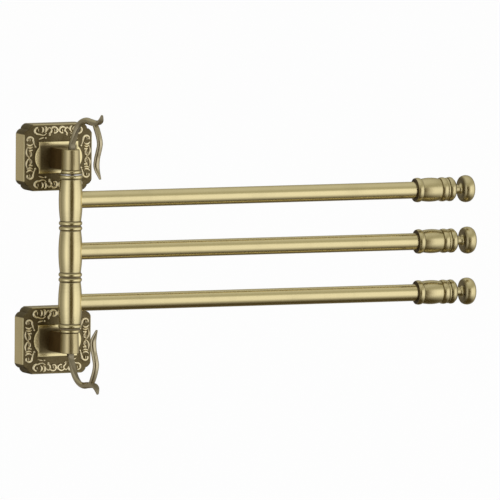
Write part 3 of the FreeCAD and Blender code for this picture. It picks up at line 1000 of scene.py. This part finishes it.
def scroll(eye: Pair, reach: Pair, turn: Pair, tail: Path = (), width: float = 2.1) -> list[Stroke]:
    """A scroll: a spiral that closes in on a round eye, with a tail at its open end.

    The spiral's point at an angle is the eye plus reach times the cosine and sine of the angle, and
    the reach shrinks evenly to 0.62 of itself from the open end to the closed one.

    Args:
        eye: The eye's middle in millimetres.
        reach: The spiral's half width and half height at its open end, in millimetres.
        turn: The angles in degrees at its open and closed ends.
        tail: Stations before the open end.
        width: The stroke's width in millimetres.

    Returns:
        The spiral with its tail, and the eye.
    """
    angles = np.radians(np.linspace(turn[0], turn[1], 9))
    shrink = np.linspace(1.0, 0.62, 9)
    spiral = tuple(
        (eye[0] + reach[0] * s * cos(a), eye[1] + reach[1] * s * sin(a))
        for a, s in zip(angles, shrink)
    )
    drop = 0.3
    dot = ((eye[0] - drop, eye[1]), (eye[0], eye[1]), (eye[0] + drop, eye[1]))
    return [Stroke(tail + spiral, width, 0.35, 0.75), Stroke(dot, 3.0, 0.9, 0.9)]


def quarter_relief() -> list[Stroke]:
    """The scrolls of the plate's upper left quarter: corner, top edge and left column."""
    return [
        # Corner: scroll opening to the middle, leaf beside it, flourish below
        *scroll((-18.3, 22.9), (3.9, 3.5), (-75, -262), ((-10.6, 20.3), (-13.6, 18.6))),
        Stroke(((-15.4, 25.7), (-13.9, 24.3), (-13.9, 22.2), (-14.9, 20.6)), 1.9),
        Stroke(((-12.6, 26.0), (-11.0, 24.9), (-10.9, 22.6), (-12.2, 20.6)), 2.1),
        Stroke(((-17.7, 15.3), (-15.6, 16.1), (-13.1, 16.7)), 1.6),
        Stroke(((-12.2, 16.1), (-11.5, 16.4), (-10.9, 16.9)), 2.0),
        # Top edge: scroll beside the middle, with its pointed leaf
        *scroll((-3.6, 22.4), (3.4, 3.2), (150, -112), ((-9.6, 23.4), (-8.2, 25.0))),
        Stroke(((-7.6, 24.2), (-6.1, 22.9), (-6.8, 21.0), (-8.0, 19.8), (-7.7, 18.4)), 1.9),
        Stroke(((-8.6, 18.2), (-7.8, 18.5), (-7.0, 19.3)), 1.6),
        # Left column: scroll with its tail, two leaves, stem with a bud, small scroll at mid-height
        *scroll((-26.0, 15.0), (3.2, 2.9), (-12, 205), ((-20.8, 9.4), (-21.9, 11.2), (-22.5, 13.4))),
        Stroke(((-21.6, 9.6), (-20.9, 9.1), (-20.2, 8.9)), 1.8, 0.8, 0.8),
        Stroke(((-28.9, 12.1), (-27.2, 10.6), (-25.0, 10.4), (-23.3, 11.7)), 2.0),
        Stroke(((-28.6, 9.5), (-26.6, 8.4), (-24.6, 8.5), (-23.2, 9.4)), 1.7),
        Stroke(((-28.3, 8.6), (-28.9, 6.2), (-28.8, 3.6), (-27.4, 1.2), (-25.6, 0.0)), 1.7),
        Stroke(((-27.0, 6.7), (-25.4, 6.2), (-23.6, 6.5)), 1.9, 0.4, 0.9),
        *scroll((-26.0, 2.9), (2.0, 2.4), (110, -100), (), 1.5),
    ]


@dataclass
class WallPlate:
    """A wall plate with its scroll relief, and the bracket and screws behind it."""

    place: Place
    form: PlateForm = field(default_factory=PlateForm)

    def relief_surface(self) -> Surface:
        """The quarter's strokes in all four quarters."""
        strokes = [stroke.surface(self.form.depth) for stroke in quarter_relief()]
        quarter = Surface.joined(strokes)
        return Surface.joined([quarter.mirrored(x, z) for x in (1, -1) for z in (1, -1)])

    def build(self, finishes: Finishes) -> None:
        """Makes and dresses the plate and its relief, and dresses what is behind it."""
        place = self.place.value
        centre = (0.0, 0.0, self.place.level * PLATE_CENTRE)
        plate, relief = self.form.surface().moved(centre), self.relief_surface().moved(centre)
        node = f"wall_plate_{place}"
        fitted(plate, f"{node}_skin", finishes.plate, Body.WALL, node, crease=28.0)
        fitted(relief, f"scroll_relief_{place}", finishes.relief, Body.WALL, crease=60.0)
        for kind in ("wall_bracket", "grub_screw", "post_screw", "post_washer"):
            dress(finishes.steel, f"{kind}_{place}")


# Spacers, posts, collars and hooks


def column_ring(
    base: float, length: float, bore: float, edge: float, crown: float, steps: int, grooves: float
) -> Surface:
    """A ring about the column whose outside is an arc of a circle.

    Args:
        base: Height of its lower end.
        length: Its length.
        bore: Radius inside.
        edge: Radius at both ends.
        crown: Radius at the middle.
        steps: Steps along the arc.
        grooves: How dark the ends are.

    Returns:
        The closed surface.
    """
    outline = Turning().to(base, bore).to(base, edge).arc(length, crown, steps).to(base + length, bore)
    return outline.surface(grooves=grooves).moved((0.0, AXIS_Y, 0.0))


@dataclass
class Spacer:
    """The thin round-edged ring between two pieces of the column."""

    name: str
    level: float
    radius: float = 8.7 * MM
    edge: float = 8.5 * MM
    bore: float = 6.0 * MM
    thickness: float = 0.8 * MM

    def build(self, finishes: Finishes) -> None:
        """Makes and dresses the ring: an arc of a circle between two flat ends."""
        base = self.level - self.thickness / 2
        ring = column_ring(base, self.thickness, self.bore, self.edge, self.radius, 6, 0.0)
        fitted(ring, f"{self.name}_skin", finishes.seam, Body.WALL, self.name, slot=Slot.NYLON)


@dataclass
class Post:
    """A post with the collar under it and the hook on it. Heights run from the column's middle."""

    place: Place
    height: float = 17.0 * MM
    wide: float = 7.7 * MM
    narrow: float = 7.2 * MM
    edge: float = 0.5 * MM
    boss_face: float = 17.7 * MM
    root: float = 0.5 * MM
    tone: float = 0.32
    collar_length: float = 3.2 * MM
    bore: float = 4.5 * MM
    collar_edge: float = 7.6 * MM
    collar: float = 8.3 * MM

    def section(self, radius: float, height: float) -> Array:
        """The post's outline at a height: two straight sides and a half circle about the column.

        Args:
            radius: Half the stem's width and the round end's radius.
            height: The height of the section.

        Returns:
            Points (x, y, z), against the clock from above.
        """
        angle = np.linspace(pi, 2 * pi, 49)
        round_end = np.stack([radius * np.cos(angle), AXIS_Y + radius * np.sin(angle)], -1)
        back = -self.boss_face + self.root
        sides = np.linspace(AXIS_Y, back, 8)[1:]
        right = np.stack([np.full(7, radius), sides], -1)
        left = right[::-1] * (-1, 1)
        outline = np.concatenate([round_end, right, left])
        return np.column_stack([outline, np.full(len(outline), height)])

    def post_surface(self) -> Surface:
        """The post with rounded end edges, as sections from its base to its top.

        Both posts are wider below, so the mirrored lower one widens away from the column.
        """
        inner, outer = (self.wide, self.narrow)[:: self.place.level]
        base = POST_TOP - self.height
        arc = np.linspace(0, pi / 2, 5)
        inset = [*(self.edge * (1 - np.sin(arc))), *(self.edge * (1 - np.cos(arc)))]
        height = [*(base + self.edge * (1 - np.cos(arc))), *(POST_TOP - self.edge * (1 - np.sin(arc)))]
        rows = []
        for cut, z in zip(inset, height):
            share = (z - base) / self.height
            rows.append(self.section(inner + share * (outer - inner) - cut, z))
        grid = np.stack(rows)
        # Painted dark reflection on the stem's flat sides, full from a millimetre behind the column's axis
        stem = np.clip((grid[..., 1] - AXIS_Y) / (1.0 * MM), 0, 1)
        return solid(grid, np.maximum(stem, self.tone))

    def collar_surface(self) -> Surface:
        """A round bead ring between the post and the washer."""
        base = POST_TOP - self.height - self.collar_length
        return column_ring(base, self.collar_length, self.bore, self.collar_edge, self.collar, 18, 1.0)

    def build(self, finishes: Finishes) -> None:
        """Makes and dresses the post and the collar."""
        place = self.place.value
        for kind, surface in (("post", self.post_surface()), ("collar_ring", self.collar_surface())):
            node = f"{kind}_{place}"
            mirrored = surface.mirrored(1, self.place.level)
            fitted(mirrored, f"{node}_skin", finishes.post, Body.WALL, node)


@dataclass
class Hook:
    """A swan-neck hook: shank, arch and leaf in one twisted band, and the tail in another.

    Sizes are in millimetres.
    """

    place: Place
    direction: float
    reach: float = 40.4
    rise: float = 31.2
    crown: float = 0.45
    twist: float = 35.0
    foot: Pair = (6.0, 4.6)
    arch: Pair = (5.2, 4.4)
    hanging: Pair = (5.3, 2.9)
    tip: Pair = (1.6, 1.6)
    corner: float = 0.08
    inner_painted_shade: float = 0.55
    root_painted_shade: float = 0.7
    root_height: float = 5.0
    root_reach: float = 8.0

    def section(self, width: Array, thickness: Array) -> tuple[Array, Array]:
        """The band's section: a crown on the outer face, and a flat inner face with round corners.

        The crown is the arc through both edges whose rise is a share of the thickness.

        Args:
            width: Width at each row.
            thickness: Thickness at each row.

        Returns:
            Distances across and outwards, as (row, column), from the right edge over the crown.
        """
        half, rise = width[:, None] / 2, self.crown * thickness[:, None]
        radius = (half**2 + rise**2) / (2 * rise)
        sweep = np.arctan2(half, radius - rise) * np.linspace(1, -1, 17)
        over = radius * np.sin(sweep)
        out = thickness[:, None] / 2 - radius + radius * np.cos(sweep)
        corner = self.corner * thickness[:, None]
        turn = np.linspace(0, pi / 2, 5)
        left = -(half - corner * (1 - np.cos(turn)))
        low = -thickness[:, None] / 2 + corner * (1 - np.sin(turn))
        flat = np.linspace(-1, 1, 7)[1:-1] * (half - corner)
        floor = np.broadcast_to(-thickness[:, None] / 2, flat.shape)
        across = np.concatenate([over, left, flat, -left[:, ::-1]], 1)
        return across, np.concatenate([out, low, floor, low[:, ::-1]], 1)

    def band(self, stations: tuple[tuple[float, ...], ...]) -> Surface:
        """A band carried along the smooth line through its stations, square to the line.

        Args:
            stations: Each one is (share of the reach, share of the rise, width, thickness, turn), the
                turn in degrees about the line.

        Returns:
            The closed surface, pointing along +X.
        """
        line = smooth_path(np.array(stations) * (self.reach, self.rise, 1, 1, 1), 10)
        centre = np.stack([line[:, 0], np.zeros(len(line)), line[:, 1]], -1)
        slope = np.gradient(centre, axis=0)
        slope /= np.linalg.norm(slope, axis=1, keepdims=True)
        level = np.broadcast_to((0.0, 1.0, 0.0), slope.shape)
        outward = np.cross(slope, level)
        turn = np.radians(line[:, 4:])
        wide = level * np.cos(turn) + outward * np.sin(turn)
        thick = outward * np.cos(turn) - level * np.sin(turn)
        across, out = self.section(line[:, 2], line[:, 3])
        rows = centre[:, None] + wide[:, None] * across[..., None] + thick[:, None] * out[..., None]
        # Painted shade on the band's inner face
        inside = self.inner_painted_shade * (out < -0.42 * line[:, 3:4])
        # Painted shade fading up from the foot, where the hook meets the post
        rooted = np.clip(1 - line[:, 1:2] / self.root_height, 0, self.root_painted_shade)
        rooted = rooted * (line[:, :1] < self.root_reach)
        return solid(rows * MM, np.maximum(inside, rooted))

    def build(self, finishes: Finishes) -> None:
        """Makes and dresses the hook: each band runs through stations from its root to its tip."""
        arch, hanging, tip, twist = self.arch, self.hanging, self.tip, self.twist
        neck = (
            (0.0, -0.01, *self.foot, 0.0),
            (0.012, 0.13, *arch, 0.1 * twist),
            (0.05, 0.26, *arch, 0.2 * twist),
            (0.16, 0.56, *arch, 0.6 * twist),
            (0.3, 0.745, *arch, 0.9 * twist),
            (0.48, 0.825, *arch, twist),
            (0.66, 0.8, *arch, 0.75 * twist),
            (0.83, 0.78, *arch, 0.3 * twist),
            (0.94, 0.85, arch[0], hanging[1], 0.0),
            (1.0, 1.0, *tip, 0.0),
        )
        tail = (
            (0.75, 0.79, 0.7 * arch[0], 0.8 * hanging[1], 0.0),
            (0.82, 0.68, *hanging, 0.0),
            (0.91, 0.44, *hanging, 0.0),
            (0.95, 0.23, *hanging, 0.0),
            (0.91, 0.02, *hanging, 0.0),
            (0.86, -0.18, *hanging, 0.0),
            (0.85, -0.42, *hanging, 0.0),
            (0.96, -0.71, *tip, 0.0),
        )
        both = Surface.joined([self.band(neck), self.band(tail)]).turned(-self.direction)
        placed = both.moved((0.0, AXIS_Y, POST_TOP)).mirrored(1, self.place.level)
        node = f"hook_{self.place.value}"
        fitted(placed, f"{node}_skin", finishes.hook, Body.WALL, node, crease=40.0)


# Studio


@dataclass
class Studio:
    """The pale floor, the soft light round the object, and the camera.

    Angles are in degrees, and pixels are of the 500 by 500 picture.
    """

    picture: int = 500
    azimuth: float = -24.85
    elevation: float = 5.1
    roll: float = 0.4
    lens: float = 1310.8
    sensor: float = 36.0
    pixels_per_metre: float = 1200.7
    column_pixel: Pair = (70.4, 251.4)
    floor_drop: float = 0.33
    floor_reach: float = 60.0
    floor_white: float = 0.9
    floor_glow: float = 1.02
    floor_evenness: float = 0.85
    tent_radius: float = 12.0
    daylight: float = 0.9

    def camera(self) -> None:
        """Places the camera so that the column's middle falls on its pixel."""
        azimuth, elevation, roll = (radians(angle) for angle in (self.azimuth, self.elevation, self.roll))
        forward = Vector(
            (-sin(azimuth) * cos(elevation), cos(azimuth) * cos(elevation), -sin(elevation))
        )
        level = Vector((cos(azimuth), sin(azimuth), 0.0))
        upright = level.cross(forward)
        right = level * cos(roll) + upright * sin(roll)
        up = upright * cos(roll) - level * sin(roll)
        x, y = self.column_pixel
        half = self.picture / 2
        target = (
            Vector((0.0, AXIS_Y, 0.0))
            + right * ((half - x) / self.pixels_per_metre)
            + up * ((y - half) / self.pixels_per_metre)
        )
        distance = self.lens / self.sensor * self.picture / self.pixels_per_metre
        data = bpy.data.cameras.new("camera")
        data.lens = self.lens
        data.sensor_width = self.sensor
        data.clip_end = 4 * self.floor_reach
        camera = bpy.data.objects.new("camera", data)
        turn = Matrix((right, up, -forward)).transposed().to_4x4()
        camera.matrix_world = Matrix.Translation(target - forward * distance) @ turn
        bpy.context.scene.collection.objects.link(camera)
        bpy.context.scene.camera = camera

    def world(self) -> None:
        """Even daylight, which the camera, reflections and clear pieces see as white."""
        world = bpy.data.worlds.new("daylight")
        bpy.context.scene.world = world
        world.use_nodes = True
        wiring = Wiring(world.node_tree)
        rays = wiring.add("LightPath").outputs
        seen = wiring.math("ADD", rays["Is Camera Ray"], rays["Is Glossy Ray"], clamp=True)
        clear = wiring.math("ADD", seen, rays["Is Transmission Ray"], clamp=True)
        strength = wiring.math("MULTIPLY_ADD", clear, 1.0 - self.daylight, self.daylight)
        sky = {"Strength": strength, "Color": (1.0, 1.0, 1.0)}
        wiring.fill(world.node_tree.nodes["Background"], sky)

    def floor(self) -> None:
        """A white floor below the bar, nearly even to the camera, which keeps a soft shadow."""
        low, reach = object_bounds()[0].z - self.floor_drop, self.floor_reach
        mesh = bpy.data.meshes.new("floor")
        corners = [(x * reach, y * reach, low) for x, y in ((-1, -1), (1, -1), (1, 1), (-1, 1))]
        mesh.from_pydata(corners, [], [(0, 1, 2, 3)])
        floor = bpy.data.objects.new("floor", mesh)
        bpy.context.scene.collection.objects.link(floor)
        floor.visible_glossy = False
        floor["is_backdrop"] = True
        material, wiring = new_material("floor_white")
        nodes = material.node_tree.nodes
        paint = {"Base Color": (self.floor_white,) * 3, "Roughness": 0.9}
        shader = wiring.fill(nodes["Principled BSDF"], paint)
        glow = wiring.add("Emission", {"Strength": self.floor_glow})
        rays = wiring.add("LightPath").outputs
        share = wiring.math("MULTIPLY", rays["Is Camera Ray"], self.floor_evenness)
        both = {"Fac": share, 1: shader.outputs["BSDF"], 2: glow.outputs["Emission"]}
        mixed = wiring.add("MixShader", both)
        wiring.fill(nodes["Material Output"], {"Surface": mixed.outputs["Shader"]})
        mesh.materials.append(material)

    def tent(self) -> None:
        """A light tent that only reflections see: white cards left and right, dim between them.

        Round the object the tent's strength is a ramp over the bearing. Above and below the cards it
        fades to a dim ceiling and a dark foot.
        """
        bpy.ops.mesh.primitive_uv_sphere_add(segments=48, ring_count=24, radius=self.tent_radius)
        tent = bpy.context.active_object
        tent.name = "light_tent"
        for ray in ("camera", "diffuse", "transmission", "volume_scatter", "shadow"):
            setattr(tent, f"visible_{ray}", False)
        tent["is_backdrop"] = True
        material, wiring = new_material("tent_cloth")
        nodes = material.node_tree.nodes
        nodes.remove(nodes["Principled BSDF"])
        apart = wiring.add("SeparateXYZ", {0: wiring.place()}).outputs
        # Bearing from -Y towards +X, as a share of the whole turn, with -Y in the middle
        bearing = wiring.math("ARCTAN2", apart["X"], wiring.math("MULTIPLY", apart["Y"], -1.0))
        turn = wiring.math("MULTIPLY_ADD", bearing, 1 / (2 * pi), 0.5)
        cards = wiring.ramp(turn, [((angle + 180) / 360, colour) for angle, colour in CARDS])
        # Height over the middle, as a share of the radius from -1 to 1, brought to 0 to 1
        raised = wiring.math("MULTIPLY_ADD", apart["Z"], 0.5 / self.tent_radius, 0.5)
        levels = [((sin(radians(angle)) + 1) / 2, *level) for angle, *level in LEVELS]
        hung = wiring.ramp(raised, [(height, (share,) * 3) for height, share, _ in levels])
        rest = wiring.ramp(raised, [(height, colour) for height, _, colour in levels])
        glow = wiring.add("Emission", {"Color": wiring.mix(hung, rest, cards)})
        wiring.fill(nodes["Material Output"], {"Surface": glow.outputs["Emission"]})
        material.cycles.emission_sampling = "NONE"
        tent.data.materials.append(material)


# Light of the tent by bearing in degrees from -Y towards +X
CARDS = (
    (-180, (0.2, 0.18, 0.13)),
    (-166, (0.25, 0.23, 0.18)),
    (-156, (0.5, 0.47, 0.42)),
    (-146, (0.4, 0.37, 0.32)),
    (-130, (0.27, 0.26, 0.22)),
    (-113, (0.36, 0.35, 0.31)),
    (-98, (0.48, 0.47, 0.44)),
    (-87, (0.6, 0.59, 0.57)),
    (-77, (0.88, 0.88, 0.87)),
    (-68, (1.2, 1.2, 1.2)),
    (-57, (1.2, 1.2, 1.2)),
    (-47, (0.96, 0.96, 0.96)),
    (-39, (0.8, 0.79, 0.77)),
    (-32, (0.66, 0.64, 0.6)),
    (-28, (0.08, 0.058, 0.014)),
    (1, (0.08, 0.058, 0.014)),
    (6, (0.5, 0.45, 0.38)),
    (13, (0.95, 0.94, 0.91)),
    (22, (1.2, 1.2, 1.18)),
    (36, (1.2, 1.2, 1.18)),
    (52, (1.06, 1.06, 1.04)),
    (74, (1.04, 1.04, 1.02)),
    (92, (0.58, 0.56, 0.49)),
    (110, (0.36, 0.34, 0.29)),
    (160, (0.24, 0.22, 0.18)),
    (180, (0.2, 0.18, 0.13)),
)
# By elevation in degrees: share of the cards, and the light where they are not
LEVELS = (
    (-80, 0.0, (0.08, 0.06, 0.025)),
    (-65, 0.0, (0.07, 0.054, 0.022)),
    (-56, 0.12, (0.08, 0.06, 0.026)),
    (-46, 0.3, (0.1, 0.08, 0.04)),
    (-38, 0.48, (0.14, 0.12, 0.07)),
    (-29, 0.74, (0.3, 0.3, 0.3)),
    (-20, 0.96, (0.3, 0.3, 0.3)),
    (-13, 1.0, (0.4, 0.4, 0.4)),
    (16, 1.0, (0.5, 0.5, 0.42)),
    (22, 0.7, (0.5, 0.49, 0.4)),
    (29, 0.05, (0.5, 0.49, 0.4)),
    (36, 0.0, (0.5, 0.49, 0.4)),
    (48, 0.0, (0.53, 0.52, 0.45)),
    (60, 0.0, (0.66, 0.66, 0.61)),
    (80, 0.0, (0.72, 0.72, 0.68)),
)


def towel_bar(finishes: Finishes) -> None:
    """Builds every sub-assembly in order: wall plates, posts, hooks, column and arms."""
    for place in (Place.UPPER, Place.LOWER):
        WallPlate(place).build(finishes)
        Post(place).build(finishes)
    Hook(Place.UPPER, 75.0).build(finishes)
    Hook(Place.LOWER, 79.0).build(finishes)
    for name, gap in (("spacer_bottom", -1.5), ("spacer_lower", -0.5), ("spacer_upper", 0.5)):
        Spacer(name, gap * HUB_PITCH).build(finishes)
    dress(finishes.steel, "pivot_rod")
    dress(finishes.washer, "thrust_washer_top")
    for place in Place:
        Arm(place).build(finishes)


def main() -> None:
    logging.basicConfig(level=logging.INFO, format="%(message)s")
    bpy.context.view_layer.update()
    bpy.context.scene.view_settings.view_transform = "Standard"
    studio = Studio()
    studio.camera()
    studio.world()
    studio.floor()
    studio.tent()
    towel_bar(Finishes())


if __name__ == "__main__":
    main()
